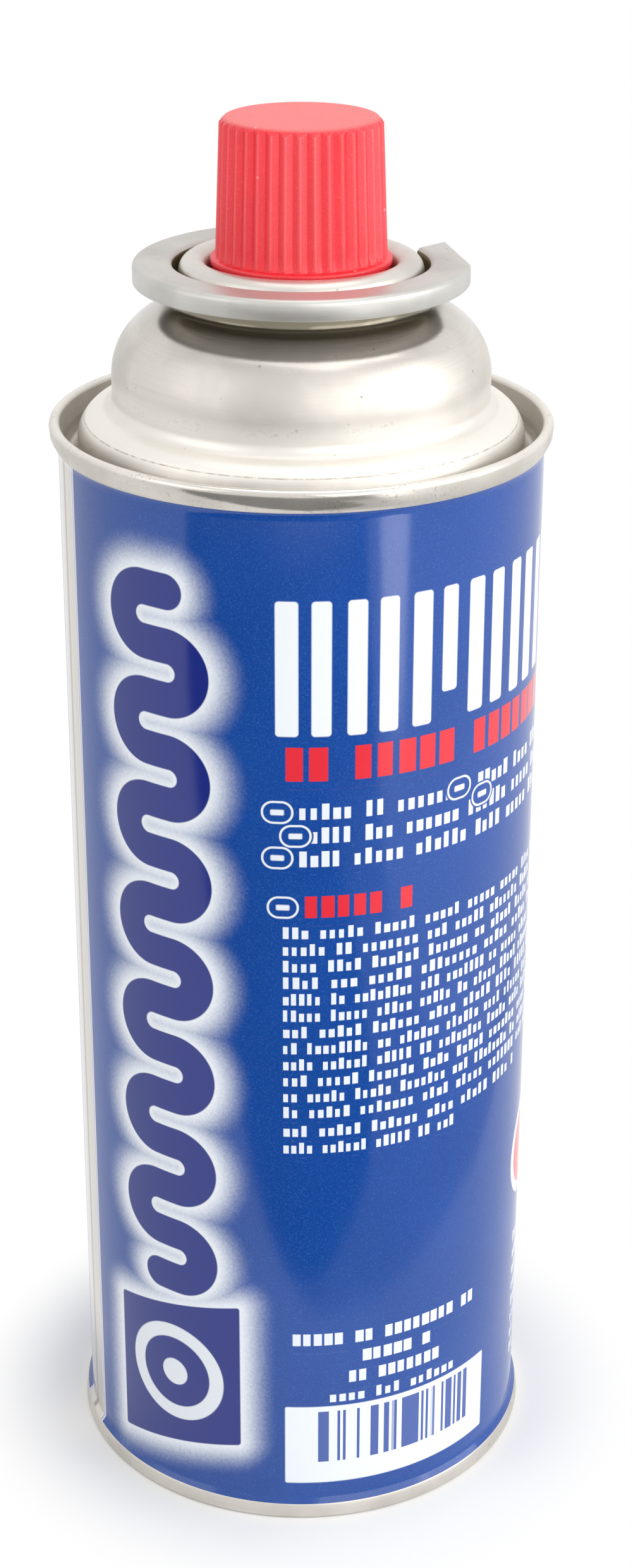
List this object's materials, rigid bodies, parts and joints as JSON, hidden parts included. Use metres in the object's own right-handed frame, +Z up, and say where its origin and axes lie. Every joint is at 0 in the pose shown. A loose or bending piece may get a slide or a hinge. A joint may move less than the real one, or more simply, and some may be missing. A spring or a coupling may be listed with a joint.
{
  "type": "fuel canister",
  "caption": "Tall tinplate fuel canister with double seams, stepped dome, notched locking collar, sprung nozzle valve in a crimped cup and a ribbed pull-off cap.",
  "frame": {"origin": "middle of the base, on the surface that the can stands on", "axes": "+Z up along the can's axis; +X to the right and -Y to the front as pictured; the collar's notch looks 45.5 degrees round from +X towards +Y"},
  "size_m": [0.0682, 0.0682, 0.1981],
  "materials": {
    "printed_tinplate": "glossy printed blue wall, bare bright tinplate ends",
    "bare_tinplate": "bright tinplate, slightly warm, softly polished",
    "collar_steel": "satin tinplate with fine scuffs",
    "gasket_rubber": "matte black rubber",
    "valve_plastic": "natural acetal, satin",
    "spring_steel": "drawn spring wire",
    "red_plastic": "satin moulded red polypropylene"
  },
  "bodies": {
    "canister": {"can": "printed_tinplate", "collar_ring": "collar_steel", "valve_cup": "bare_tinplate", "cup_gasket": "gasket_rubber", "valve_housing": "valve_plastic", "stem_gasket": "gasket_rubber", "valve_spring": "spring_steel"},
    "valve": {"valve_stem": "valve_plastic"},
    "lid": {"cap": "red_plastic"}
  },
  "joints": [
    {"name": "cap_pull", "type": "slide", "parent": "canister", "child": "lid", "axis": [0, 0, 1], "range_m": [0, 0.035]},
    {"name": "valve_press", "type": "slide", "parent": "canister", "child": "valve", "axis": [0, 0, -1], "range_m": [0, 0.0018], "stiffness_N_per_m": 4000, "deforming": ["valve_spring"]}
  ]
}
